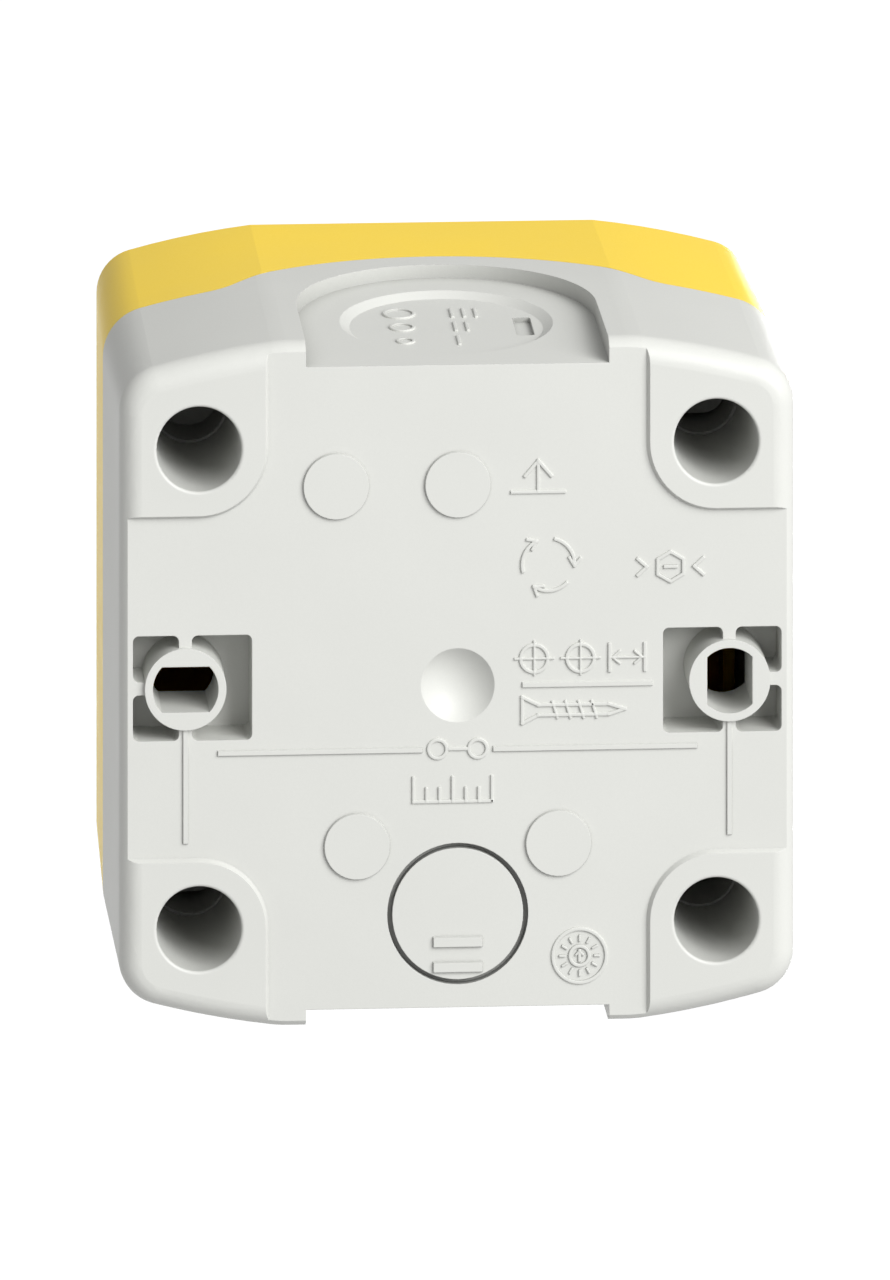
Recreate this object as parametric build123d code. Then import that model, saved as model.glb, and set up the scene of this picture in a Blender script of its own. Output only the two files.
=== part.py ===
from build123d import *
import os
from math import cos, radians, sin, sqrt, tan

# Surface push-button box: a grey rear base, a yellow lid and one spring-return palm button that works a
# normally closed and a normally open contact block. Millimetres. The origin is the centre of the mounting
# plane, +Z is up and the button faces -Y. A depth is the distance in front of the mounting plane: depth 10
# is Y = -10.

# Overall box
body_width = 68.0
body_height = 68.0
body_depth = 53.0
flat_half = 17.7          # half-width of the flat in the middle of the top and bottom
facet_angle = 12.0        # slope of the facets from that flat down to the corners
facet_bulge = 0.38        # how far the middle of a facet stands out of straight
corner_r = 5.0
base_facet_r = 12.0       # softened edge between flat and facet, on the base only
rear_edge_r = 2.2
side_draft = 1.25
top_draft = 0.3
parting_depth = 23.9      # at the sides and along the facets
arch_rise = 9.45          # how far the parting surface arches forward in the middle
arch_r = 30.0
arch_foot_r = 4.0
parting_gap = 0.05

# Rear face
mid_recess = 0.5          # the corner pads stand proud of the rest by this
pad_r = 6.9
pad_slope = 31.0          # the pads' sides lean by this
mark_height = 0.3         # raised discs and bars
mark_slope = 15.0
mark_root = 0.05          # how far the marks start below the face
disc_r = 3.32
disc_top_x = 12.07
disc_top_z = 19.75
disc_low_x = 10.0
ridge_width = 0.58
ridge_height = 0.2
ridge_z = -6.48
ridge_middle = 3.45       # half of the break in the long line
ridge_end = 3.15          # from the line's end to the screw's axis
ridge_foot_z = -15.4
note_line = (6.35, 19.4)
note_drop = -0.2
dimple_r = 3.66
dimple_drop = -0.15
dimple_depth = 1.6
dimple_boss_r = 5.2
dimple_boss = 1.3

# Corner pillars and bores
corner_inset = 8.33       # from the box's side to the pillar's axis
corner_below = 8.6        # from the facet straight down to that axis
bore_mouth_r = 4.2
bore_mid_r = 3.9
bore_step_depth = 17.0
bore_end_r = 3.65
bore_lip = 0.3            # rounding of the mouth
pillar_r = 6.2
pillar_top = 26.5
pillar_web = 2.0
shallow_bore_end = 22.8
deep_bore_end = 24.8

# Wall fixing tubes
fixing_inset = 7.0        # from the box's side to the screw's axis
tube_r = 4.05
slot_length = 6.5
slot_width = 4.5
pocket_depth = 5.6
pocket_out = 5.2
pocket_in = 6.6
pocket_half = 5.2
pocket_r = 0.6
web_width = 1.28
pocket_skin = 1.8

# Walls, tongue and groove
floor = 2.6
base_wall = 2.9
tongue_inset = 1.3
tongue_top = 35.2
seal_gap = 0.1
gasket_thick = 1.5
skirt_wall = 1.2
skirt_back = 34.0
rim_front = 38.2
lid_wall = 3.0
lid_front = 2.5
crown_start = 47.5
crown_angle = 28.0
crown_edge_r = 1.0
crown_wall = 4.6

# Knock-outs
cable_depth = 15.1        # from the mounting plane to the middle of a cable knock-out
cable_recess_half = 15.05
cable_recess = {1: 2.45, -1: 2.0}     # how deep the recess is at its rear edge, top and bottom
cable_slope = 2.0
cable_r = 10.7
cable_sink = 0.6
cable_bevel = 59.0
cable_pad = 1.7           # extra wall behind the recess
cable_pad_half = 16.6
cable_pad_front = 31.0
cable_groove = 0.8
cable_skin = 0.7
cable_tab = (1.8, 6.0, 0.5)           # pocket for the tip of a screwdriver
cable_tab_x = -7.75
rear_knock_r = 6.5
rear_knock_groove = 0.5
rear_knock_deep = 0.9
rear_knock_inset = 11.25  # from the box's bottom to its centre
rear_disc_above = 6.85    # from that centre up to the lower pair of discs
bar_length = 5.0
bar_width = 1.1
bar_drops = (2.76, 5.25)

# Lid screws, nuts, seals and retainers
sleeve_r = 5.0
sleeve_gap = 0.7
head_recess_r = 4.1
head_recess_depth = 7.0
head_r = 3.6
head_height = 3.4
shank_r = 2.0
tip_r = 1.6
tip_start = 28.0
screw_clear = 0.1
running_clear = 0.05
nut_width = 6.2
nut_r = 2.2
nut_thick = 2.2
screw_seal = 1.0
retainer_r = 2.9
retainer_thick = 0.5

# Button operator
barrel_r = 11.05
barrel_length = 12.0
bezel_flange = 3.7        # how far the bezel reaches beyond the barrel
bezel_height = 4.0
bezel_chamfer = 0.6
bezel_seal = 0.6
guide_length = 8.0
guide_r = 5.0
barrel_wall = 1.75
key_width = 1.4
key_height = 0.9
ring_nut_wall = 3.4
ring_nut_length = 4.0
ring_nut_notches = 6
ring_nut_notch = 1.6
ring_nut_flange = 1.0
stem_clear = 0.06
stem_peg_r = 3.5
stem_peg = 6.3
peg_clear = 0.02
stem_shoulder = 1.5
pusher_over = 7.0         # pusher bar beyond the middles of the two plungers
pusher_high = 9.0
pusher_thick = 2.0
pusher_r = 1.5
button_travel = 4.3
cap_r = 20.0
cap_gap = 0.7             # left under the cap when it is fully pressed
cap_lip = 1.4
cap_rim = 3.4
cap_rim_r = 2.0
cap_height = 12.4
cap_core_wall = 1.6
cap_skin = 2.4
hub_clear = 0.4
hub_wall = 1.5
hub_length = 8.6
spring_wire_r = 0.45
spring_clear = 0.35
spring_turns = 5
spring_end_gap = 0.05
stem_seal_bite = 0.6
stem_seal_length = 1.6

# Contact blocks
block_width = 11.0
block_space = 1.0
block_half = 18.0
block_back = 4.0
block_front = 27.0
tower_half = 8.5
tower_front = 31.0
block_wall = 1.2
plunger_half_x = 3.2
plunger_half_z = 3.0
plunger_back = 13.5
plunger_tip = 35.9
plunger_clear = 0.1
pusher_gap = 0.1
window_half = 2.1
bridge_half_x = 1.9
bridge_half_z = 10.0
bridge_thick = 0.8
bridge_rest = 19.0
contact_gap = 2.6
touch = 0.02
contact_spring_length = 4.0
contact_spring_r = 1.4
plunger_spring_r = 1.9
block_wire_r = 0.22
strip_half = 2.0
strip_thick = 0.8
strip_inner = 7.8
strip_outer = 17.0
riser_z = 10.4
strip_clear = 0.05
terminal_z = 14.3
terminal_chamber = (11.4, 17.2)
wire_gap = 2.1
clamp_half = (2.5, 2.6)
clamp_thick = 0.8
terminal_head_r = 2.5
terminal_head = 1.8
terminal_shank_r = 1.45
terminal_tip_depth = 17.2
driver_hole_r = 2.8
screw_slot = 0.8
rail_z = 12.0
rail_width = 2.0
clip_half = 3.0
clip_thick = 1.8
clip_height = 8.4
clip_nose = (6.0, 7.6)
clip_reach = 0.8
past = 1.0                # how far a cut runs past the face it opens

half_w = body_width / 2
half_h = body_height / 2
corner_x = half_w - corner_inset
corner_z = half_h - (corner_x - flat_half) * tan(radians(facet_angle)) - corner_below
fixing_x = half_w - fixing_inset
knock_z = -(half_h - rear_knock_inset)
corners = [(sx * corner_x, sz * corner_z) for sx in (-1, 1) for sz in (-1, 1)]
screw_corners = [(-corner_x, corner_z), (corner_x, -corner_z)]
gasket_back = tongue_top
groove_front = tongue_top + gasket_thick
lid_inner = body_depth - lid_front
screw_seat = body_depth - head_recess_depth
nut_front = pillar_top - pillar_web
nut_back = nut_front - nut_thick
barrel_back = body_depth - barrel_length
bezel_back = body_depth + bezel_seal
bezel_front = bezel_back + bezel_height
spring_seat = barrel_back + guide_length
cap_back = bezel_front + button_travel + cap_gap
spring_top = cap_back - 0.1
pusher_back = plunger_tip + pusher_gap
pusher_front = pusher_back + pusher_thick
chamber_r = barrel_r - barrel_wall
hub_r = chamber_r - hub_clear
hub_inner_r = hub_r - hub_wall
bezel_r = barrel_r + bezel_flange
block_pitch = block_width + block_space
inner_half = block_width / 2 - block_wall
bridge_front = bridge_rest + bridge_thick
strip_level = bridge_front + touch
strip_top = strip_level + strip_thick
block_floor = block_back + 1.5


# Shape helpers
def forward(depth):
    return Plane(origin=(0, -depth, 0), x_dir=(1, 0, 0), z_dir=(0, -1, 0))


def rearward(depth):
    return Plane(origin=(0, -depth, 0), x_dir=(-1, 0, 0), z_dir=(0, 1, 0))


def prism(sketch, start, end):
    return extrude(forward(start) * sketch, amount=end - start)


def slab(x_low, x_high, z_low, z_high, start, end):
    middle = Pos((x_low + x_high) / 2, (z_low + z_high) / 2)
    return prism(middle * Rectangle(x_high - x_low, z_high - z_low), start, end)


def rod(radius, start, end, x=0.0, z=0.0):
    return prism(Pos(x, z) * Circle(radius), start, end)


def ring(outer, inner, start, end, x=0.0, z=0.0):
    return prism(Pos(x, z) * (Circle(outer) - Circle(inner)), start, end)


def turned(profile, x=0.0, z=0.0):
    """Turns a closed profile of (radius, depth) lines about an axis along Y."""
    plane = Plane(origin=(x, 0, z), x_dir=(1, 0, 0), z_dir=(0, 0, -1))
    return revolve(plane * make_face(profile), axis=Axis((x, 0, z), (0, 1, 0)))


def coil(radius, wire, start, end, turns, x=0.0):
    """A round-wire spring along Y whose wire lies between two depths."""
    height = end - start - 2 * wire
    path = Helix(height / turns, height, radius, center=(x, -start - wire, 0), direction=(0, -1, 0))
    section = Plane(origin=path @ 0, z_dir=path % 0) * Circle(wire)
    return sweep(section, path=path, is_frenet=True)


def outline(inset=0.0, facet_r=0.0, top_inset=None):
    """The box's section: upright sides, a flat top and bottom and a slightly full facet to each corner."""
    w, h = half_w - inset, half_h - (inset if top_inset is None else top_inset)
    flat = flat_half - inset * tan(radians(facet_angle / 2))
    slope = radians(facet_angle)
    side = h - (w - flat) * tan(slope)
    full = ((flat + w) / 2 + facet_bulge * sin(slope), (h + side) / 2 + facet_bulge * cos(slope))
    edges = Curve()
    for sx in (-1, 1):
        edges += Line((sx * w, side), (sx * w, -side))
        for sz in (-1, 1):
            edges += ThreePointArc((sx * flat, sz * h), (sx * full[0], sz * full[1]), (sx * w, sz * side))
    edges += [Line((-flat, h), (flat, h)), Line((-flat, -h), (flat, -h))]
    face = make_face(edges)
    face = fillet(face.vertices().filter_by(lambda v: abs(v.X) > w - 0.01), corner_r - inset)
    if facet_r > 0:
        face = fillet(face.vertices().filter_by(lambda v: abs(abs(v.X) - flat) < 0.01), facet_r)
    return face


def wall_band(outer_inset, inner_inset, start, end):
    return prism(outline(outer_inset) - outline(inner_inset), start, end)


def behind_parting(gap=0.0):
    """Everything behind the parting surface: flat at the sides, with an arch across the middle."""
    side = parting_depth + gap
    reach = 2 * body_width
    half_arch = sqrt(arch_r ** 2 - (arch_r - arch_rise) ** 2)
    edge = Polyline((half_arch, side), (reach, side), (reach, -past), (-reach, -past), (-reach, side),
                    (-half_arch, side))
    arch = ThreePointArc((-half_arch, side), (0, side + arch_rise), (half_arch, side))
    face = make_face(edge + arch)
    feet = face.vertices().filter_by(lambda v: abs(abs(v.X) - half_arch) < 0.01)
    plane = Plane(origin=(0, 0, body_height), x_dir=(1, 0, 0), z_dir=(0, 0, -1))
    return extrude(plane * fillet(feet, arch_foot_r), amount=2 * body_height)


def drafted(start, end, facet_r=0.0):
    """The box's section carried from one depth to another, widest at the parting."""
    def section(depth):
        run = abs(depth - parting_depth)
        return outline(run * tan(radians(side_draft)), facet_r, run * tan(radians(top_draft)))

    return loft([forward(depth) * section(depth) for depth in (start, end)], ruled=True)


# Rear base
def corner_pads():
    reach_x, reach_z = half_w - corner_x + pad_r, half_h - corner_z + pad_r
    pad = Pos(half_w, half_h) * Rectangle(2 * reach_x, 2 * reach_z)
    pad = fillet(pad.vertices().group_by(Axis.X)[0].group_by(Axis.Y)[0], pad_r)
    pads = pad + mirror(pad, about=Plane.YZ)
    return pads + mirror(pads, about=Plane.XZ)


def corner_bore(x, z, end):
    lip_r = bore_mouth_r + bore_lip
    swell = bore_lip * (1 - sqrt(0.5))
    lines = Polyline((bore_mouth_r, bore_lip), (bore_mid_r, bore_step_depth), (bore_end_r, bore_step_depth),
                     (bore_end_r, end), (0, end), (0, -past), (lip_r, -past), (lip_r, 0))
    lip = ThreePointArc((lip_r, 0), (bore_mouth_r + swell, swell), (bore_mouth_r, bore_lip))
    return turned(lines + lip, x, z)


def fixing_slot(upright):
    size = (slot_width, slot_length) if upright else (slot_length, slot_width)
    return Circle(slot_length / 2) & Rectangle(*size)


def fixing_pocket(side):
    """The pocket round a screw tube, less the tube and the three webs that hold it."""
    x = side * fixing_x
    x_in, x_out = x - side * pocket_in, x + side * pocket_out
    room = Pos((x_in + x_out) / 2, 0) * Rectangle(pocket_in + pocket_out, 2 * pocket_half)
    room -= Pos(x, 0) * Rectangle(web_width, 4 * pocket_half)
    room -= Pos(x + side * pocket_out, 0) * Rectangle(2 * pocket_out, web_width)
    room -= Pos(x, 0) * Circle(tube_r)
    outer = [v for v in room.vertices() if abs(v.X - x_in) < 0.01 or abs(v.X - x_out) < 0.01
             or abs(abs(v.Y) - pocket_half) < 0.01]
    return prism(fillet(outer, pocket_r), -past, pocket_depth)


def cable_plane(up, below=0.0):
    """The floor of a cable recess, which rises a little towards the front."""
    z = half_h - cable_recess[up] - below
    slope = radians(cable_slope)
    return Plane(origin=(0, 0, up * z), x_dir=(1, 0, 0), z_dir=(0, sin(slope), up * cos(slope)))


def cable_cut(up):
    """The U-shaped recess round a cable knock-out, the sunk disc with its bevelled rim and the pocket for a
    screwdriver, and the ring inside the wall that lets the disc break out."""
    middle = Pos(0, -up * cable_depth)
    recess = middle * Circle(cable_recess_half)
    recess += Pos(0, -up * (cable_depth - past) / 2) * Rectangle(2 * cable_recess_half, cable_depth + past)
    cut = extrude(cable_plane(up) * recess, amount=corner_r)
    floor_r = cable_r - cable_sink * tan(radians(cable_bevel))
    cut += extrude(cable_plane(up, cable_sink) * middle * Circle(floor_r), amount=cable_sink + 0.1,
                   taper=-cable_bevel)
    width, length, deep = cable_tab
    tab = Pos(cable_tab_x, -up * cable_depth) * RectangleRounded(width, length, 0.3)
    cut += extrude(cable_plane(up, cable_sink) * tab, amount=-deep)
    weak = middle * (Circle(floor_r) - Circle(floor_r - cable_groove))
    return cut + extrude(cable_plane(up, cable_sink + cable_skin) * weak, amount=-2 * cable_pad)


def raised(sketch, height):
    """Marks that stand proud of the recessed face; x runs towards +X, as elsewhere."""
    plane = Plane(origin=(0, -mid_recess - mark_root, 0), x_dir=(-1, 0, 0), z_dir=(0, 1, 0))
    return extrude(plane * mirror(sketch, about=Plane.YZ), amount=height + mark_root, taper=mark_slope)


def rear_marks():
    """Raised discs, bars and lines of the rear face."""
    low = knock_z + rear_disc_above
    places = [(disc_top_x, disc_top_z), (0, disc_top_z), (disc_low_x, low), (-disc_low_x, low)]
    marks = [raised(Pos(x, z) * Circle(disc_r), mark_height) for x, z in places]
    marks += [raised(Pos(0, knock_z - drop) * Rectangle(bar_length, bar_width), mark_height)
              for drop in bar_drops]
    note = Pos(-sum(note_line) / 2, note_drop) * Rectangle(note_line[1] - note_line[0], ridge_width)
    marks.append(raised(note, ridge_height))
    long_reach = fixing_x - ridge_end - ridge_middle
    drop = ridge_height - tube_r - ridge_foot_z
    for side in (-1, 1):
        long_line = Pos(side * (ridge_middle + long_reach / 2), ridge_z) * Rectangle(long_reach, ridge_width)
        upright = Pos(side * fixing_x, ridge_foot_z + drop / 2) * Rectangle(ridge_width, drop)
        marks += [raised(long_line, ridge_height), raised(upright, ridge_height)]
    return Part() + marks


def block_mounts():
    """Rails that the contact blocks stand on and the clips that hold their ends."""
    reach = block_pitch / 2 + block_width / 2
    solid = Part()
    for up in (-1, 1):
        solid += slab(-reach, reach, up * rail_z - rail_width / 2, up * rail_z + rail_width / 2,
                      floor - past, block_back)
        for side in (-1, 1):
            x = side * block_pitch / 2
            wall = sorted([up * (block_half + 0.1), up * (block_half + 0.1 + clip_thick)])
            nose = sorted([up * (block_half - clip_reach + 0.1), up * (block_half + 0.2)])
            solid += slab(x - clip_half, x + clip_half, *wall, floor - past, clip_height)
            solid += slab(x - clip_half, x + clip_half, *nose, *clip_nose)
    return solid


def rear_base():
    body = drafted(0, parting_depth, base_facet_r)
    body = fillet(body.faces().sort_by(Axis.Y)[-1].edges(), rear_edge_r)
    body += drafted(parting_depth, parting_depth + arch_rise + past, base_facet_r)
    body &= behind_parting()
    inside = prism(outline(base_wall), floor, tongue_top + past)
    body += wall_band(tongue_inset, base_wall, parting_depth - 2, tongue_top)
    body -= inside
    # pillars, fixing boxes and the boss behind the dimple stay within the walls
    inner = Part() + [rod(pillar_r, floor - past, pillar_top, x, z) for x, z in corners]
    for side in (-1, 1):
        near, far = sorted([side * (fixing_x - pocket_in - pocket_skin), side * (half_w - 1)])
        inner += slab(near, far, -pocket_half - pocket_skin, pocket_half + pocket_skin,
                      floor - past, pocket_depth + pocket_skin)
    inner += rod(dimple_boss_r, floor - past, floor + dimple_boss)
    for up in (-1, 1):
        wall = sorted([up * (half_h - base_wall - cable_pad), up * (half_h - base_wall + 0.5)])
        inner += slab(-cable_pad_half, cable_pad_half, *wall, floor - past, cable_pad_front)
    inner &= prism(outline(tongue_inset), 0, tongue_top)
    body += inner + block_mounts()
    middle = prism(Rectangle(2 * body_width, 2 * body_height), -past, mid_recess)
    body -= middle - extrude(rearward(mid_recess) * corner_pads(), amount=mid_recess + past, taper=pad_slope)
    body += rear_marks()
    for side in (-1, 1):
        body -= fixing_pocket(side)
        body += rod(tube_r, 0, pocket_depth + 0.1, side * fixing_x)
        slot = Pos(side * fixing_x, 0) * fixing_slot(side < 0)
        body -= prism(slot, -past, pocket_depth + pocket_skin + past)
    for x, z in corners:
        if (x, z) in screw_corners:
            body -= corner_bore(x, z, nut_front)
            body -= rod(shank_r + screw_clear, nut_front - past, pillar_top + past, x, z)
        else:
            body -= corner_bore(x, z, shallow_bore_end if x > 0 else deep_bore_end)
    sphere_r = (dimple_r ** 2 + dimple_depth ** 2) / (2 * dimple_depth)
    body -= Pos(0, -mid_recess - dimple_depth + sphere_r, dimple_drop) * Sphere(sphere_r)
    groove_end = mid_recess + rear_knock_deep
    body -= ring(rear_knock_r + rear_knock_groove, rear_knock_r, -past, groove_end, 0, knock_z)
    return body - cable_cut(1) - cable_cut(-1)


# Lid and what seals and holds it
def front_lid():
    body = drafted(parting_depth, crown_start)
    run = crown_start - parting_depth
    rim = outline(run * tan(radians(side_draft)), 0, run * tan(radians(top_draft)))
    body += extrude(forward(crown_start) * rim, amount=body_depth - crown_start, taper=crown_angle)
    body = fillet(body.faces().sort_by(Axis.Y)[0].edges(), crown_edge_r)
    lip = tongue_inset - seal_gap
    groove_inner = base_wall + seal_gap
    body -= prism(outline(lip), parting_depth - past, skirt_back)
    body -= wall_band(lip, groove_inner, skirt_back - 0.1, groove_front)
    body -= prism(outline(groove_inner + skirt_wall), skirt_back - 0.1, rim_front)
    body -= prism(outline(lid_wall), rim_front, crown_start - 0.5)
    body -= prism(outline(crown_wall), crown_start - 0.6, lid_inner)
    body -= behind_parting(parting_gap)
    for x, z in corners:
        body += rod(sleeve_r, pillar_top + sleeve_gap, lid_inner + 0.1, x, z)
    for x, z in screw_corners:
        body -= rod(shank_r + screw_clear, parting_depth - 2 * past, body_depth, x, z)
        body -= rod(head_recess_r, screw_seat, body_depth + past, x, z)
    body -= rod(barrel_r + 0.1, lid_inner - past, body_depth + past)
    key_half = key_width / 2 + 0.1
    key_top = barrel_r + key_height + 0.1
    return body - slab(-key_half, key_half, 0, key_top, lid_inner - past, body_depth + past)


def lid_gasket():
    return wall_band(tongue_inset, base_wall, gasket_back, groove_front)


def lid_screws():
    head_back = screw_seat + screw_seal
    head_front = head_back + head_height
    screws = Part()
    for x, z in screw_corners:
        screw = rod(head_r, head_back, head_front, x, z) + rod(shank_r, tip_start, head_back, x, z)
        screw += rod(tip_r, nut_back - 0.2, tip_start, x, z)
        for length, width in ((head_r * 1.3, 1.0), (1.0, head_r * 1.3)):
            recess = Pos(x, z) * Rectangle(length, width)
            screw -= prism(recess, head_front - head_height / 2, head_front + past)
        screws += screw
    return screws


def lid_screw_seals():
    return Part() + [ring(head_r - 0.2, shank_r + running_clear, screw_seat, screw_seat + screw_seal, x, z)
                     for x, z in screw_corners]


def lid_screw_retainers():
    middle = pillar_top + sleeve_gap / 2
    return Part() + [ring(retainer_r, tip_r + running_clear, middle - retainer_thick / 2,
                          middle + retainer_thick / 2, x, z) for x, z in screw_corners]


def lid_nuts():
    nut = RectangleRounded(nut_width, nut_width, nut_r) - Circle(tip_r + running_clear)
    return Part() + [prism(Pos(x, z) * nut, nut_back, nut_front) for x, z in screw_corners]


# Button operator
def operator_body():
    seal_front = bezel_front - bezel_chamfer
    groove_r = chamber_r + stem_seal_bite
    profile = Polyline(
        (guide_r, barrel_back), (barrel_r, barrel_back), (barrel_r, bezel_back), (bezel_r, bezel_back),
        (bezel_r, bezel_front - bezel_chamfer), (bezel_r - bezel_chamfer, bezel_front),
        (chamber_r, bezel_front), (chamber_r, seal_front), (groove_r, seal_front),
        (groove_r, seal_front - stem_seal_length), (chamber_r, seal_front - stem_seal_length),
        (chamber_r, spring_seat), (guide_r, spring_seat), close=True)
    key = slab(-key_width / 2, key_width / 2, barrel_r - 0.5, barrel_r + key_height, lid_inner, bezel_back)
    return turned(profile) + key


def bezel_gasket():
    inner = barrel_r + key_height + 0.1
    return ring(bezel_r - 0.5, inner, body_depth, bezel_back)


def ring_nut():
    outer = barrel_r + ring_nut_wall
    back = lid_inner - ring_nut_length
    nut = ring(outer, barrel_r + running_clear, back, lid_inner)
    for place in PolarLocations(outer, ring_nut_notches):
        notch = place * Rectangle(ring_nut_notch, 2 * ring_nut_notch)
        nut -= prism(notch, back - past, lid_inner - ring_nut_flange)
    return nut


def button_cap():
    top = cap_back + cap_height
    shoulder = cap_back + cap_rim
    peg_front = spring_top + stem_peg + 0.1
    skin_r = cap_r - cap_skin
    core_r = hub_r + cap_core_wall
    socket_r = stem_peg_r + peg_clear
    lines = Polyline(
        (0, top), (0, peg_front), (socket_r, peg_front), (socket_r, spring_top),
        (hub_inner_r, spring_top), (hub_inner_r, cap_back - hub_length), (hub_r, cap_back - hub_length),
        (hub_r, cap_back + cap_lip), (core_r, cap_back + cap_lip), (core_r, shoulder + cap_lip),
        (skin_r, shoulder), (skin_r, cap_back + cap_lip), (skin_r + cap_lip / 2, cap_back),
        (cap_r - cap_lip / 2, cap_back), (cap_r, cap_back + cap_lip), (cap_r, shoulder))
    rise = cap_height - cap_rim
    dome_r = (cap_r ** 2 + rise ** 2) / (2 * rise)
    halfway = (cap_r / 2, top - dome_r + sqrt(dome_r ** 2 - cap_r ** 2 / 4))
    cap = turned(lines + ThreePointArc((cap_r, shoulder), halfway, (0, top)))
    rim = [e for e in cap.edges().filter_by(GeomType.CIRCLE) if abs(e.center().Y + shoulder) < 0.01]
    return fillet([e for e in rim if e.radius > cap_r - 0.01], cap_rim_r)


def push_stem():
    shaft = guide_r - stem_clear
    stem = rod(shaft, pusher_front, spring_top) + rod(stem_peg_r, spring_top, spring_top + stem_peg)
    stem += rod(guide_r + stem_shoulder, pusher_front, barrel_back - running_clear)
    bar = RectangleRounded(block_pitch + pusher_over, pusher_high, pusher_r)
    return stem + prism(bar, pusher_back, pusher_front)


def return_spring():
    mean_r = hub_inner_r - spring_clear - spring_wire_r
    start, end = spring_seat + spring_end_gap, spring_top - spring_end_gap
    return coil(mean_r, spring_wire_r, start, end, spring_turns)


def stem_seal():
    front = bezel_front - bezel_chamfer
    return ring(chamber_r + stem_seal_bite, hub_r + running_clear, front - stem_seal_length, front)


# Contact blocks, drawn about their own middle with the cover on the +X side, then put in place
def place_block(shape, side):
    turned_over = shape if side > 0 else mirror(shape, about=Plane.YZ)
    return Pos(side * block_pitch / 2, 0, 0) * turned_over


def side_profile(points, x_low, x_high):
    """A sheet with an outline of (z, depth) points, from one X to another."""
    plane = Plane(origin=(x_low, 0, 0), x_dir=(0, 0, 1), z_dir=(1, 0, 0))
    face = make_face(Polyline(*[(z, depth) for z, depth in points], close=True))
    return extrude(plane * face, amount=x_high - x_low)


def block_side(x_low, x_high):
    points = [(-block_half, block_back), (block_half, block_back), (block_half, block_front),
              (tower_half, block_front), (tower_half, tower_front), (-tower_half, tower_front),
              (-tower_half, block_front), (-block_half, block_front)]
    return side_profile(points, x_low, x_high)


def strip_points(closed_at_rest, up, grow=0.0):
    """The bent strip of a fixed contact: straight when it meets the bridge's front, stepped back when it
    waits behind it."""
    low, high = strip_level - grow, strip_top + grow
    if closed_at_rest:
        points = [(strip_inner - grow, low), (strip_outer + grow, low), (strip_outer + grow, high),
                  (strip_inner - grow, high)]
    else:
        tip_high = bridge_rest - contact_gap - touch + grow
        tip_low = tip_high - strip_thick - 2 * grow
        points = [(strip_inner - grow, tip_low), (riser_z + strip_thick + grow, tip_low),
                  (riser_z + strip_thick + grow, low), (strip_outer + grow, low), (strip_outer + grow, high),
                  (riser_z - grow, high), (riser_z - grow, tip_high), (strip_inner - grow, tip_high)]
    return [(up * z, depth) for z, depth in points]


def block_housing(closed_at_rest):
    body = block_side(-block_width / 2, inner_half)
    middle = tower_half - 1.0
    body -= slab(-inner_half, inner_half + past, -middle, middle, block_floor, tower_front - 1.5)
    body -= slab(-bridge_half_x - 0.4, inner_half + past, -bridge_half_z - 0.6, bridge_half_z + 0.6,
                 plunger_back + 0.5, strip_top + 0.1)
    hole = Rectangle(2 * (plunger_half_x + plunger_clear), 2 * (plunger_half_z + plunger_clear))
    body -= prism(hole, tower_front - 2 * past, tower_front + past)
    for up in (-1, 1):
        near, far = sorted([up * terminal_chamber[0], up * terminal_chamber[1]])
        body -= side_profile(strip_points(closed_at_rest, up, strip_clear), -strip_half - strip_clear,
                             inner_half + past)
        body -= slab(-inner_half + past, inner_half + past, near, far, strip_top, block_front - 1.0)
        body -= rod(driver_hole_r, block_front - 2.0, block_front + past, 0, up * terminal_z)
        body -= rod(terminal_shank_r + 0.35, terminal_tip_depth - 0.7, strip_top, 0, up * terminal_z)
        end = sorted([up * (terminal_chamber[1] - 0.2), up * (block_half + past)])
        body -= slab(-strip_half, strip_half, *end, strip_top + 0.1, strip_top + 0.1 + wire_gap)
        notch = sorted([up * (block_half - clip_reach), up * (block_half + past)])
        body -= slab(-block_width, block_width, *notch, clip_nose[0] - 0.1, clip_nose[1] + 0.1)
    return body


def block_cover():
    cover = block_side(inner_half, block_width / 2)
    for up in (-1, 1):
        notch = sorted([up * (block_half - clip_reach), up * (block_half + past)])
        cover -= slab(0, block_width, *notch, clip_nose[0] - 0.1, clip_nose[1] + 0.1)
    return cover


def plunger(closed_at_rest):
    body = slab(-plunger_half_x, plunger_half_x, -plunger_half_z, plunger_half_z, plunger_back, plunger_tip)
    body = fillet(body.faces().sort_by(Axis.Y)[0].edges(), 0.5)
    if closed_at_rest:
        window = (bridge_rest - contact_spring_length, bridge_front)
    else:
        window = (bridge_rest, bridge_front + contact_spring_length)
    return body - slab(-window_half, window_half, -plunger_half_z - past, plunger_half_z + past, *window)


def bridge():
    return slab(-bridge_half_x, bridge_half_x, -bridge_half_z, bridge_half_z, bridge_rest, bridge_front)


def fixed_contacts(closed_at_rest):
    strips = Part()
    for up in (-1, 1):
        strip = side_profile(strip_points(closed_at_rest, up), -strip_half, strip_half)
        strips += strip - rod(terminal_shank_r + running_clear, strip_level - past, strip_top + past, 0,
                              up * terminal_z)
    return strips


def contact_spring(closed_at_rest):
    start = bridge_rest - contact_spring_length if closed_at_rest else bridge_front
    return coil(contact_spring_r, block_wire_r, start + 0.03, start + contact_spring_length - 0.03, 4)


def plunger_spring():
    return coil(plunger_spring_r, block_wire_r, block_floor + 0.03, plunger_back - 0.03, 5)


def terminal_screw():
    seat = strip_top + wire_gap + clamp_thick
    front = seat + terminal_head
    screw = rod(terminal_head_r, seat, front) + rod(terminal_shank_r, terminal_tip_depth, seat)
    slot = Rectangle(2 * terminal_head_r + past, screw_slot)
    return screw - prism(slot, front - terminal_head / 2, front + past)


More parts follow.
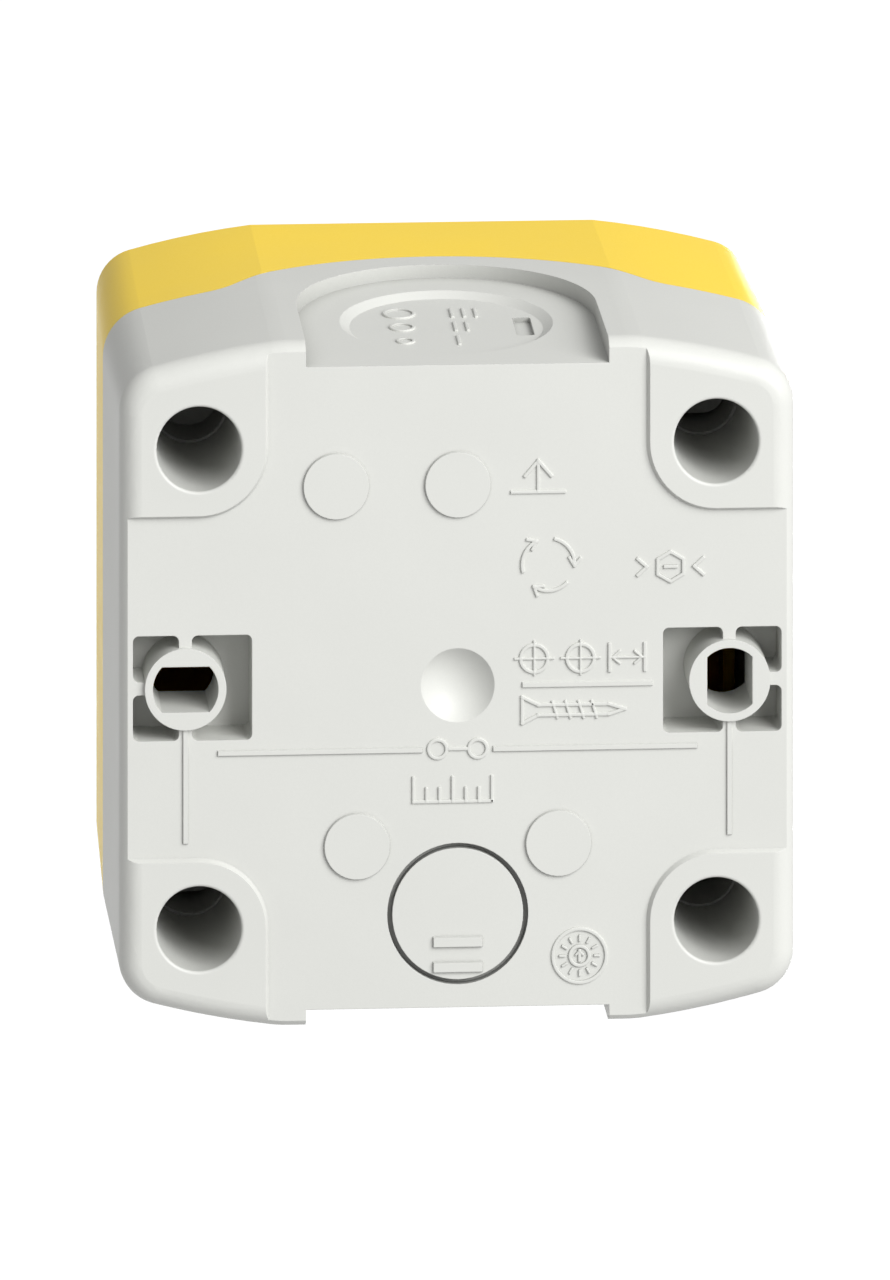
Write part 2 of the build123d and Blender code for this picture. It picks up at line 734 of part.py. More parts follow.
def terminal_clamp():
    half_x, half_z = clamp_half
    start = strip_top + wire_gap
    clamp = slab(-half_x, half_x, -half_z, half_z, start, start + clamp_thick)
    return clamp - rod(terminal_shank_r + 0.2, start - past, start + 2 * past)


def at_terminals(shape):
    half = block_pitch / 2
    return Part() + [Pos(x, 0, z) * shape for x in (-half, half) for z in (-terminal_z, terminal_z)]


pieces = {
    "rear_base": rear_base(),
    "front_lid": front_lid(),
    "lid_gasket": lid_gasket(),
    "lid_screws": lid_screws(),
    "lid_screw_seals": lid_screw_seals(),
    "lid_screw_retainers": lid_screw_retainers(),
    "lid_nuts": lid_nuts(),
    "operator_body": operator_body(),
    "bezel_gasket": bezel_gasket(),
    "ring_nut": ring_nut(),
    "button_cap": button_cap(),
    "push_stem": push_stem(),
    "return_spring": return_spring(),
    "stem_seal": stem_seal(),
    "terminal_screws": at_terminals(terminal_screw()),
    "terminal_clamps": at_terminals(terminal_clamp()),
}
for kind, side, closed in (("nc", 1, True), ("no", -1, False)):
    pieces |= {
        f"{kind}_block_housing": place_block(block_housing(closed), side),
        f"{kind}_block_cover": place_block(block_cover(), side),
        f"{kind}_plunger": place_block(plunger(closed), side),
        f"{kind}_bridge": place_block(bridge(), side),
        f"{kind}_fixed_contacts": place_block(fixed_contacts(closed), side),
        f"{kind}_contact_spring": place_block(contact_spring(closed), side),
        f"{kind}_plunger_spring": place_block(plunger_spring(), side),
    }

os.makedirs("parts", exist_ok=True)
for name, piece in pieces.items():
    export_step(piece, f"parts/{name}.step")
    print(f"{name}: {len(piece.solids())} solids, {piece.volume:.1f} mm3")
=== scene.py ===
# %% [markdown]
# # A push-button box, seen from behind
#
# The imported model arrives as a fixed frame: every CAD node is already in its place, in metres. This script gives
# each node its finish, adds the small moulded marks, springs and threads that are easier to draw as meshes, and
# sets up the light and the camera. The mounting plane is Y = 0, the box reaches towards -Y, and Z is up.

# %% Load the frame and keep its size
from math import atan2, cos, hypot, pi, radians, sin

import bpy
from mathutils import Matrix, Vector


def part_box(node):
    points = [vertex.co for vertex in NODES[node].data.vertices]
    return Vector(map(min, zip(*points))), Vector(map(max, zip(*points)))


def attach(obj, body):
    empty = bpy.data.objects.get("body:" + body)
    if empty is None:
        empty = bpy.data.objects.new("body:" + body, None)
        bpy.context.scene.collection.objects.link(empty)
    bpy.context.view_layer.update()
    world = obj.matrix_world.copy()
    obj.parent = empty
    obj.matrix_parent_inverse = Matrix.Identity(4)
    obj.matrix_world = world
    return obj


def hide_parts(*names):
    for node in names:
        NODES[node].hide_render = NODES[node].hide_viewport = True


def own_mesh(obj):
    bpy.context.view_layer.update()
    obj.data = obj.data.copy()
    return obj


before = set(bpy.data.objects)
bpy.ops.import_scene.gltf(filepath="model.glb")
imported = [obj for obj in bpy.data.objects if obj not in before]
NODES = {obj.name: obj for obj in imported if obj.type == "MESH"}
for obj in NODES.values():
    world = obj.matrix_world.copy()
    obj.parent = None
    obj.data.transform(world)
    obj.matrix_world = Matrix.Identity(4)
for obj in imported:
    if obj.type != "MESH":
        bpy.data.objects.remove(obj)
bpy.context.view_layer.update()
SCENE = bpy.context.scene
MM = 0.001

# %% [markdown]
# ## The camera
#
# The back of the box is seen from above, yet its round holes stay round and its upright edges stay upright. A
# plain camera tilted down can't do that: it would squash the circles. A view camera can: its film stays upright
# while the lens looks down at the object. The same thing is made here with a camera whose three axes are set one
# by one: "right" and "up" lie in the film, and "back" points from the object to the eye, at an angle to the film.
# A matrix with such leaning axes can't be typed in as a turn, so it sits between the camera and its stand.

# %% Aim the camera
AIM = Vector((1.3 * MM, 0, 4.5 * MM))      # the point of the mounting plane in the middle of the picture
DISTANCE = 1.23
EYE_ELEVATION = radians(16.0)
EYE_AZIMUTH = radians(4.5)                 # towards +X, which is on the left when looking from behind
FILM_TURN = radians(3.3)                   # the film's own turn about Z
SENSOR = 36.0
PICTURE_LONG = 1280
PICTURE_SCALE = 10.107                     # width of one millimetre of the mounting plane in that picture

back = Vector((sin(EYE_AZIMUTH) * cos(EYE_ELEVATION), cos(EYE_AZIMUTH) * cos(EYE_ELEVATION), sin(EYE_ELEVATION)))
right = Vector((-cos(FILM_TURN), sin(FILM_TURN), 0))
up = Vector((0, 0, 1))
eye = AIM + back * DISTANCE

camera = bpy.data.objects.new("camera", bpy.data.cameras.new("camera"))
stand = bpy.data.objects.new("camera_stand", None)
for thing in (camera, stand):
    SCENE.collection.objects.link(thing)
camera.data.sensor_width = SENSOR
camera.data.lens = PICTURE_SCALE * DISTANCE / MM * SENSOR / PICTURE_LONG
camera.data.clip_start, camera.data.clip_end = 0.1, 20
camera.parent = stand
camera.matrix_parent_inverse = Matrix([(right[i], up[i], back[i], eye[i]) for i in range(3)] + [(0, 0, 0, 1)])
SCENE.camera = camera
print("lens, mm:", round(camera.data.lens, 1))

# %% [markdown]
# ## Light
#
# A studio for a pale moulding: soft light from all around, and one large lamp high on the right that makes the
# right-hand faces a little brighter than the left-hand ones, so that the raised marks read. A weaker lamp in
# front keeps the lid and the button out of the dark.

# %% Light the scene
SCENE.view_settings.view_transform = "Standard"
world = bpy.data.worlds.new("studio")
SCENE.world = world
world.use_nodes = True
ROOM_LIGHT = 0.50
LAMP_DISTANCE = 1.2
LAMPS = {"key": ((-0.54, 0.66, 0.53), 0.85, 19.3), "fill": ((-0.14, -1.0, -0.22), 0.4, 7.0)}
world.node_tree.nodes["Background"].inputs["Color"].default_value = (1, 1, 1, 1)
world.node_tree.nodes["Background"].inputs["Strength"].default_value = ROOM_LIGHT

for name, (towards, size, power) in LAMPS.items():
    lamp = bpy.data.objects.new(name, bpy.data.lights.new(name, "AREA"))
    lamp.data.energy, lamp.data.size = power, size
    lamp.location = Vector(towards).normalized() * LAMP_DISTANCE
    lamp.rotation_euler = lamp.location.to_track_quat("Z", "Y").to_euler()
    SCENE.collection.objects.link(lamp)

# %% [markdown]
# ## Writing a material as sums
#
# A node tree is easier to read as arithmetic. `Wire` stands for a node's output and turns `+`, `-` and
# `*` into Math nodes; any other node comes from one method, `Finish.node`. Colours never go through Math,
# which would turn them grey, but through Mix.


# %% A wire and a finish
class Wire:
    """A node's output; a sum with it adds a Math node."""

    def __init__(self, finish, socket):
        self.finish, self.socket = finish, socket

    def math(self, operation, first, second=0.0):
        return self.finish.node("ShaderNodeMath", {"operation": operation}, {0: first, 1: second})

    def __add__(self, other):
        return self.math("ADD", self, other)

    def __rsub__(self, other):
        return self.math("SUBTRACT", other, self)

    def __mul__(self, other):
        return self.math("MULTIPLY", self, other)

    def __abs__(self):
        return self.math("ABSOLUTE", self)

    __radd__, __rmul__ = __add__, __mul__


class Finish:
    """A material, with its Principled shader and ways to add nodes."""

    def __init__(self, name):
        self.material = bpy.data.materials.new(name)
        self.material.use_nodes = True
        self.tree = self.material.node_tree
        self.shader = self.tree.nodes["Principled BSDF"]
        self.place = self.node("ShaderNodeTexCoord", {}, {}, "Object")

    def node(self, kind, settings, inputs, output=0):
        made = self.tree.nodes.new(kind)
        for name, value in settings.items():
            if name == "stops":
                while len(made.color_ramp.elements) < len(value):
                    made.color_ramp.elements.new(0.5)
                for element, (position, colour) in zip(made.color_ramp.elements, value):
                    element.position, element.color = position, colour
            else:
                setattr(made, name, value)
        self.feed(made, inputs)
        return Wire(self, made.outputs[output])

    def feed(self, node, inputs):
        for name, value in inputs.items():
            if isinstance(value, Wire):
                self.tree.links.new(value.socket, node.inputs[name])
            else:
                node.inputs[name].default_value = value

    def noise(self, scale, detail=2.0, roughness=0.5, stretch=None):
        """A soft pattern; the scale is in waves per metre, and a stretch draws it out along an axis."""
        place = self.place
        if stretch:
            place = self.node("ShaderNodeMapping", {}, {"Vector": place, "Scale": stretch})
        values = {"Vector": place, "Scale": scale, "Detail": detail, "Roughness": roughness}
        return self.node("ShaderNodeTexNoise", {}, values, "Fac")

    def ramp(self, value, low, high, out_low=0.0, out_high=1.0):
        """Carries a value from one range to another and clamps it."""
        ends = {"From Min": low, "From Max": high, "To Min": out_low, "To Max": out_high}
        return self.node("ShaderNodeMapRange", {}, {"Value": value, **ends})

    def mix(self, amount, first, second):
        """One colour into another."""
        values = {0: amount, 6: first, 7: second}
        return self.node("ShaderNodeMix", {"data_type": "RGBA"}, values, 2)

    def bump(self, height, depth, strength=1.0, normal=None):
        values = {"Height": height, "Distance": depth, "Strength": strength}
        if normal:
            values["Normal"] = normal
        return self.node("ShaderNodeBump", {}, values)

    def set(self, **inputs):
        """Sets the shader's sockets; an underscore in a name stands for a space."""
        self.feed(self.shader, {name.replace("_", " "): value for name, value in inputs.items()})


def tone(colour, factor):
    """The same colour, lighter or darker."""
    return tuple(min(1.0, c * factor) for c in colour[:3]) + (1.0,)


# %% [markdown]
# ## Moulded plastic
#
# The box is injection moulded. Such a surface has a very fine spark-eroded grain, a faint cloudiness where the
# melt flowed, and edges that are never quite sharp. The grain is a bump from fine noise, the cloudiness a slow
# noise in colour and roughness, and the soft edges come from a Bevel node, which rounds the shading of an edge
# without touching the mesh. Deep holes get painted shade: an Ambient Occlusion node finds them, and the base
# colour is darkened there.


# %% The plastics
def moulded(name, colour, roughness, grain=0.006, edge=0.12, shade=0.0, reach=7.0, open_band=0.0, coat=0.0):
    """Grain depth, edge radius, the reach of the painted shade and the half-height of a band that gets little of
    it are in millimetres."""
    finish = Finish(name)
    flow = finish.noise(55, 3, 0.55)
    fine = finish.noise(5200, 2, 0.6)
    body = finish.mix(finish.ramp(flow, 0.3, 0.7), tone(colour, 0.985), tone(colour, 1.015))
    body = finish.mix(finish.ramp(fine, 0.35, 0.65, 0.0, 0.25), body, tone(colour, 0.94))
    if shade:
        # Painted shade: the base colour is darkened towards near black where the Ambient Occlusion node finds the
        # surface closed in.
        open_sky = finish.node("ShaderNodeAmbientOcclusion", {"samples": 8, "only_local": True},
                               {"Distance": reach * MM}, "AO")
        depth = finish.ramp(open_sky, 0.0, 0.85, shade, 0.0)
        # Near Z = 0 most of the painted shade is taken back, so that the shallow pockets stay light.
        if open_band:
            height = abs(finish.node("ShaderNodeSeparateXYZ", {}, {"Vector": finish.place}, "Z"))
            depth = depth * finish.ramp(height, open_band * MM, (open_band + 1.5) * MM, 0.1, 1.0)
        body = finish.mix(depth, body, tone(colour, 0.02))
    soft_edge = finish.node("ShaderNodeBevel", {"samples": 4}, {"Radius": edge * MM})
    finish.set(Base_Color=body, IOR=1.5, Coat_Weight=coat, Coat_Roughness=0.12,
               Roughness=finish.ramp(flow + fine, 0.6, 1.4, roughness - 0.05, roughness + 0.06),
               Normal=finish.bump(fine, grain * MM, 0.6, soft_edge))
    return finish.material


# The grey base and the yellow lid get painted shade in their deep holes.
base_grey = moulded("base_grey", (0.60, 0.605, 0.575), 0.46, shade=0.72, open_band=5.4)
lid_yellow = moulded("lid_yellow", (0.94, 0.66, 0.03), 0.42, shade=0.3)
block_black = moulded("block_black", (0.035, 0.036, 0.040), 0.5, grain=0.01)
bezel_black = moulded("bezel_black", (0.018, 0.018, 0.020), 0.3, grain=0.004, coat=0.2)
ring_nut_grey = moulded("ring_nut_grey", (0.10, 0.10, 0.11), 0.5)
cap_red = moulded("cap_red", (0.50, 0.012, 0.010), 0.28, grain=0.002, edge=0.2, coat=0.35)
stem_white = moulded("stem_white", (0.70, 0.70, 0.66), 0.35)
nut_grey = moulded("nut_grey", (0.30, 0.30, 0.29), 0.5)
retainer_nylon = moulded("retainer_nylon", (0.72, 0.70, 0.60), 0.4)
plunger_red = moulded("plunger_red", (0.45, 0.02, 0.015), 0.4)
plunger_green = moulded("plunger_green", (0.03, 0.22, 0.06), 0.4)

# %% [markdown]
# ## Rubber and metal
#
# The seals are soft black rubber: matt, with specks of filler and a dusty bloom. The screws are zinc plated, so
# they have a cloudy, slightly uneven shine. Spring wire is drawn through a die, which leaves fine lines along
# it, and the brass contacts are stamped from rolled strip and have begun to tarnish.


# %% The rubber
def rubber(name):
    finish = Finish(name)
    bloom = finish.ramp(finish.noise(90, 4, 0.6), 0.4, 0.75)
    speck = finish.ramp(finish.noise(2600, 2, 0.5), 0.45, 0.7)
    body = finish.mix(bloom, (0.022, 0.022, 0.023, 1), (0.045, 0.044, 0.042, 1))
    finish.set(Base_Color=finish.mix(speck * 0.4, body, (0.09, 0.088, 0.085, 1)), IOR=1.52,
               Roughness=finish.ramp(bloom + speck, 0.0, 2.0, 0.62, 0.85),
               Normal=finish.bump(speck, 0.01 * MM, 0.5))
    return finish.material


seal_rubber = rubber("seal_rubber")


# %% The metals
def metal(name, bright, dull, roughness, tarnish_scale, lines):
    """A bright colour that turns to the dull one in clouds, with fine lines drawn along the stretch."""
    finish = Finish(name)
    cloud = finish.ramp(finish.noise(tarnish_scale, 4, 0.6), 0.38, 0.68)
    drawn = finish.noise(2200, 2, 0.5, stretch=lines)
    finish.set(Base_Color=finish.mix(cloud, bright, dull), Metallic=1.0 - 0.25 * cloud,
               Roughness=finish.ramp(cloud + drawn, 0.3, 1.6, roughness, roughness + 0.22),
               Normal=finish.bump(drawn, 0.004 * MM, 0.5))
    return finish.material


screw_steel = metal("screw_steel", (0.62, 0.61, 0.58, 1), (0.42, 0.41, 0.38, 1), 0.26, 420, (1, 1, 1))
spring_steel = metal("spring_steel", (0.52, 0.52, 0.52, 1), (0.33, 0.32, 0.31, 1), 0.24, 300, (1, 0.1, 1))
contact_brass = metal("contact_brass", (0.72, 0.53, 0.24, 1), (0.45, 0.30, 0.14, 1), 0.25, 260, (1, 1, 0.08))

# %% [markdown]
# ## Dressing the CAD nodes
#
# A node whose shape is right keeps its mesh and only gets a finish.

# %% One finish per node
FINISHES = {
    base_grey: ["rear_base"], lid_yellow: ["front_lid"],
    seal_rubber: ["lid_gasket", "lid_screw_seals", "bezel_gasket", "stem_seal"],
    screw_steel: ["lid_screws", "terminal_screws", "terminal_clamps"],
    retainer_nylon: ["lid_screw_retainers"], nut_grey: ["lid_nuts"],
    bezel_black: ["operator_body"], ring_nut_grey: ["ring_nut"],
    cap_red: ["button_cap"], stem_white: ["push_stem"],
    block_black: ["nc_block_housing", "nc_block_cover", "no_block_housing", "no_block_cover"],
    plunger_red: ["nc_plunger"], plunger_green: ["no_plunger"],
    contact_brass: ["nc_bridge", "no_bridge", "nc_fixed_contacts", "no_fixed_contacts"],
    spring_steel: ["return_spring", "nc_contact_spring", "nc_plunger_spring", "no_contact_spring",
                   "no_plunger_spring"],
}
for material, names in FINISHES.items():
    for name in names:
        NODES[name].data.materials.clear()
        NODES[name].data.materials.append(material)
print("nodes dressed:", sum(len(names) for names in FINISHES.values()))

# %% [markdown]
# ## Tools for small moulded marks
#
# Marks on a moulding are cut into the mould, so they stand proud of the part as thin strokes with leaning
# sides. Each stroke starts as a primitive, laid flat on the face: a bar is a box, an arc is a small section
# spun about its centre. The strokes of one mark are joined, and a bevel breaks their edges.

# %% Strokes
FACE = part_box("rear_base")[1].y - 0.5 * MM     # the recessed middle of the rear face
STROKE = 0.36 * MM
PROUD = 0.18 * MM                              # how far a stroke stands out
SUNK = 0.1 * MM                                # how far it reaches into the face
SIDE_SLOPE = 0.08 * MM
THIN, FINE = 0.32 * MM, 0.25 * MM              # narrower strokes for arrowheads and cross lines
HAIR_STEPS = 7
HAIR = 0.004 * MM                              # crossing strokes differ in height by this, so they don't flicker


def deselect():
    if bpy.context.object and bpy.context.object.mode != "OBJECT":
        bpy.ops.object.mode_set(mode="OBJECT")
    bpy.ops.object.select_all(action="DESELECT")


def settle(piece):
    """Puts the piece's place, turn and size into its mesh."""
    deselect()
    piece.select_set(True)
    bpy.context.view_layer.objects.active = piece
    bpy.ops.object.transform_apply(location=True, rotation=True, scale=True)
    return piece


def bar(x1, z1, x2, z2, width=STROKE):
    """A straight stroke between two points of the face, in millimetres from the middle."""
    deselect()
    middle = Vector(((x1 + x2) / 2 * MM, FACE + (PROUD - SUNK) / 2, (z1 + z2) / 2 * MM))
    bpy.ops.mesh.primitive_cube_add(size=1, location=middle)
    piece = bpy.context.object
    piece.scale = (hypot(x2 - x1, z2 - z1) * MM + width, PROUD + SUNK, width)
    piece.rotation_euler.y = -atan2(z2 - z1, x2 - x1)
    return settle(piece)


def arc(x, z, radius, start, sweep, width=STROKE, steps=16):
    """A curved stroke about a centre; angles in degrees, from +X towards +Z."""
    deselect()
    bpy.ops.mesh.primitive_plane_add(size=1, location=(0, 0, 0))
    piece = bpy.context.object
    piece.scale = (width, PROUD + SUNK, 1)
    settle(piece)
    piece.location = (radius * MM, 0, 0)
    settle(piece)
    piece.rotation_euler.y = -radians(start)
    piece.location = (x * MM, FACE + (PROUD - SUNK) / 2, z * MM)
    settle(piece)
    bpy.ops.object.mode_set(mode="EDIT")
    bpy.ops.mesh.select_all(action="SELECT")
    bpy.ops.mesh.spin(steps=steps, angle=radians(sweep), center=(x * MM, 0, z * MM), axis=(0, 1, 0))
    bpy.ops.mesh.select_all(action="SELECT")
    bpy.ops.mesh.normals_make_consistent(inside=False)
    bpy.ops.object.mode_set(mode="OBJECT")
    return piece


def circle(x, z, radius, width=STROKE, sides=40):
    """A round stroke: a disc whose middle is inset and pushed down below the face."""
    deselect()
    middle = Vector((x * MM, FACE + (PROUD - SUNK) / 2, z * MM))
    bpy.ops.mesh.primitive_cylinder_add(vertices=sides, radius=radius * MM + width / 2, depth=PROUD + SUNK,
                                        location=middle, rotation=(pi / 2, 0, 0))
    piece = settle(bpy.context.object)
    bpy.ops.object.mode_set(mode="EDIT")
    bpy.ops.mesh.select_all(action="DESELECT")
    bpy.ops.object.mode_set(mode="OBJECT")
    cap = max(piece.data.polygons, key=lambda face: face.center.y)
    cap.select = True
    bpy.ops.object.mode_set(mode="EDIT")
    bpy.ops.mesh.select_mode(type="FACE")
    bpy.ops.mesh.inset(thickness=width)
    bpy.ops.mesh.extrude_region_move(TRANSFORM_OT_translate={"value": (0, -PROUD - SUNK / 2, 0)})
    bpy.ops.object.mode_set(mode="OBJECT")
    return piece


def enter(piece, name, body, material):
    """Names a piece, dresses it and lets it ride on a body. A finish has the name of its slot, before the number
    that Blender adds when the frame already has a material of that name."""
    piece.name = piece.data.name = name
    piece.data.materials.clear()
    piece.data.materials.append(material)
    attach(piece, body)


def mark(name, strokes, turn=0.0, move=(0, 0, 0)):
    """Joins strokes into one piece with broken edges; a turn about X and a move carry it to another face."""
    deselect()
    for step, stroke in enumerate(strokes):
        stroke.data.transform(Matrix.Translation((0, step % HAIR_STEPS * HAIR, 0)))
        stroke.select_set(True)
    bpy.context.view_layer.objects.active = strokes[0]
    if len(strokes) > 1:
        bpy.ops.object.join()
    piece = bpy.context.object
    soften = piece.modifiers.new("soften", "BEVEL")
    soften.width, soften.segments, soften.limit_method = SIDE_SLOPE, 2, "ANGLE"
    bpy.ops.object.modifier_apply(modifier="soften")
    piece.rotation_euler.x, piece.location = radians(turn), move
    settle(piece)
    enter(piece, name, "base", base_grey)
    print(name, "strokes:", len(strokes), "faces:", len(piece.data.polygons))


# %% [markdown]
# ## The marks of the rear face
#
# The real box carries lettering here. These marks keep its places and its weight on the face but say the same
# things in plain signs: which way is up, that the material can be used again, what the screw holes are, and
# how far apart they stand. The x of a mark runs towards +X, which is on the left when looking from behind.

# %% Signs for the hanging direction and the material
mark("up_arrow", [bar(-8.0, 18.9, -8.0, 22.0), bar(-8.0, 22.0, -6.7, 20.5), bar(-8.0, 22.0, -9.3, 20.5),
                  bar(-5.4, 18.9, -10.6, 18.9)])
mark("material_sign", [bar(-17.9, 12.1, -18.8, 11.3), bar(-18.8, 11.3, -17.9, 10.5),
                       bar(-24.4, 12.1, -23.5, 11.3), bar(-23.5, 11.3, -24.4, 10.5),
                       circle(-21.15, 11.3, 1.5, sides=6), bar(-20.6, 11.3, -21.7, 11.3)])
LOOP_X, LOOP_Z, LOOP_R = -9.0, 11.7, 2.6
ARROW_START, ARROW_SWEEP, HEAD_LENGTH, HEAD_LEAN = 12, 82, 0.95, 35
loop = []
for turn in (90, 210, 330):
    loop.append(arc(LOOP_X, LOOP_Z, LOOP_R, turn + ARROW_START, ARROW_SWEEP))
    tip = radians(turn + ARROW_START + ARROW_SWEEP)
    tip_x, tip_z = LOOP_X + LOOP_R * cos(tip), LOOP_Z + LOOP_R * sin(tip)
    for lean in (-HEAD_LEAN, HEAD_LEAN):
        heading = tip - pi / 2 + radians(lean)
        loop.append(bar(tip_x, tip_z, tip_x + HEAD_LENGTH * cos(heading), tip_z + HEAD_LENGTH * sin(heading),
                        THIN))
mark("loop_sign", loop)

# %% Signs for the screw holes and their spacing
hole_signs = []
for x in (-7.6, -12.2):
    hole_signs += [circle(x, 2.4, 1.35), bar(x - 1.9, 2.4, x + 1.9, 2.4, FINE),
                   bar(x, 0.8, x, 4.1, FINE)]
hole_signs += [bar(-15.1, 1.1, -15.1, 3.7), bar(-18.6, 1.1, -18.6, 3.7), bar(-15.1, 2.4, -18.6, 2.4, FINE)]
hole_signs += [bar(tip, 2.4, tip + run, 2.4 + rise, FINE) for tip, run in ((-15.4, -0.7), (-18.3, 0.7))
               for rise in (-0.6, 0.6)]
mark("hole_sign", hole_signs)
screw = [bar(-6.4, -1.4, -6.4, -4.0), bar(-6.4, -1.4, -8.0, -2.2), bar(-6.4, -4.0, -8.0, -3.2),
         bar(-8.0, -2.2, -15.0, -2.2), bar(-8.0, -3.2, -15.0, -3.2), bar(-15.0, -2.2, -16.6, -2.7),
         bar(-15.0, -3.2, -16.6, -2.7)]
screw += [bar(-9.4 - step, -1.9, -9.9 - step, -3.5, 0.28 * MM) for step in (0, 1.3, 2.6, 3.9)]
mark("screw_sign", screw)
spacing = [circle(2.0, -6.4, 0.9), circle(-2.0, -6.4, 0.9),
           bar(0.8, -6.4, -0.8, -6.4)]
mark("spacing_sign", spacing)
ruler = [bar(4.4, -11.6, -3.4, -11.6)]
ruler += [bar(4.4 - 1.3 * i, -11.6, 4.4 - 1.3 * i, -9.2 if i % 3 == 0 else -10.3, THIN) for i in range(7)]
mark("ruler_sign", ruler)

# %% The mould's date clock
CLOCK = (-12.1, -27.1, 2.65)
x, z, radius = CLOCK
clock = [circle(x, z, radius, sides=64), circle(x, z, 0.95),
         bar(x, z - 0.45, x, z + 0.5), bar(x, z + 0.5, x - 0.35, z + 0.1, FINE),
         bar(x, z + 0.5, x + 0.35, z + 0.1, FINE)]
for i in range(12):
    angle = radians(30 * i)
    clock.append(bar(x + 1.5 * cos(angle), z + 1.5 * sin(angle), x + 1.95 * cos(angle), z + 1.95 * sin(angle),
                     FINE))
mark("mould_clock", clock)

# %% [markdown]
# ## Entry sizes on the knock-outs
#
# The discs of the two cable entries carry signs for their sizes: a small, a middle and a large ring, each with
# as many ticks. They are drawn on the rear face like the others, then tipped forward onto the disc, whose floor
# leans by two degrees.

# %% Signs on the two discs
DISC_DEPTH = -15.1 * MM
DISC_LEAN = 2.0
DISC_FLOOR = 31.48 * MM
RING_X, TICK_X, TICK_STEP, TICK_HALF, ROW_STEP = 4.4, -0.9, 1.2, 1.3, 4.6
for place, side in (("top", 1), ("bottom", -1)):
    signs = []
    for row, radius in enumerate((0.8, 1.15, 1.5)):
        z = (row - 1) * ROW_STEP
        signs.append(circle(RING_X, z, radius, sides=24))
        signs += [bar(TICK_X - TICK_STEP * tick, z - TICK_HALF, TICK_X - TICK_STEP * tick, z + TICK_HALF)
                  for tick in range(row + 1)]
    turn = side * (90 - DISC_LEAN)
    height = DISC_FLOOR - FACE * cos(radians(DISC_LEAN))
    mark(f"{place}_entry_signs", signs, turn, (0, DISC_DEPTH - FACE * sin(radians(DISC_LEAN)), side * height))

# %% [markdown]
# ## Springs
#
# A compression spring has its end turns closed, so that it stands square. The wire's path starts as a single
# point that a Screw modifier winds into a helix; then the end turns are pressed flat with the resize operator
# and the rest moves up to them. The path becomes a curve with a round section and is made a mesh again.


# %% Winding a spring
def pick(piece, rule):
    """Selects the points that a rule holds for and opens the piece for editing."""
    deselect()
    bpy.context.view_layer.objects.active = piece
    piece.select_set(True)
    bpy.ops.object.mode_set(mode="EDIT")
    bpy.ops.mesh.select_mode(type="VERT")
    bpy.ops.mesh.select_all(action="DESELECT")
    bpy.ops.object.mode_set(mode="OBJECT")
    for point in piece.data.vertices:
        point.select = rule(point)
    bpy.ops.object.mode_set(mode="EDIT")


def one_point(x, y):
    """A triangle merged into its middle point, the start of a wire's path."""
    deselect()
    bpy.ops.mesh.primitive_circle_add(vertices=3, radius=MM, location=(x, y, 0))
    point = settle(bpy.context.object)
    bpy.ops.object.mode_set(mode="EDIT")
    bpy.ops.mesh.select_all(action="SELECT")
    bpy.ops.mesh.merge(type="CENTER")
    bpy.ops.object.mode_set(mode="OBJECT")
    return point


def wind(piece, pitch, turns, steps):
    """Turns the piece about Y and moves it forward by a pitch each turn."""
    screw = piece.modifiers.new("wind", "SCREW")
    screw.axis, screw.angle, screw.screw_offset, screw.iterations = "Y", 2 * pi, -pitch, turns
    screw.steps = screw.render_steps = steps
    screw.use_merge_vertices = False
    bpy.context.view_layer.objects.active = piece
    bpy.ops.object.modifier_apply(modifier="wind")


CLOSED = 2.1             # pitch of a closed turn, in wire radii: neighbours just clear
TURN_STEPS = 28
NEAR = 0.001


def spring(name, node, body, x, start, end, radius, wire, turns, squash=None):
    """A spring along Y between two depths in millimetres; two of its turns are the closed ends."""
    closed = CLOSED * wire
    pitch = (end - start - 2 * wire - 2 * closed) / (turns - 2)
    first = -(start + wire) * MM
    piece = one_point(radius * MM, first)
    wind(piece, pitch * MM, turns, TURN_STEPS)
    last = min(point.co.y for point in piece.data.vertices)
    spare = (pitch - closed) * MM
    for rule, end_y, shift in ((lambda p: p.co.y > first - (pitch + NEAR) * MM, first, -spare),
                               (lambda p: p.co.y < last + (pitch + NEAR) * MM, last, spare)):
        pick(piece, rule)
        bpy.ops.transform.resize(value=(1, closed / pitch, 1), center_override=(0, end_y, 0))
        bpy.ops.transform.translate(value=(0, shift, 0))
        bpy.ops.object.mode_set(mode="OBJECT")
    top = max(point.co.y for point in piece.data.vertices)
    bpy.ops.object.convert(target="CURVE")
    curve = bpy.context.object
    curve.data.bevel_depth, curve.data.bevel_resolution, curve.data.use_fill_caps = wire * MM, 3, True
    bpy.ops.object.convert(target="MESH")
    piece = bpy.context.object
    piece.location = (x * MM, first - top, 0)
    settle(piece)
    bpy.ops.object.shade_smooth()
    enter(piece, name, body, spring_steel)
    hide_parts(node)
    if squash:
        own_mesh(piece)
    low = min(point.co.y for point in piece.data.vertices)
    high = max(point.co.y for point in piece.data.vertices)
    print(name, "depths, mm:", round(-high / MM, 2), round(-low / MM, 2), "faces:", len(piece.data.polygons))


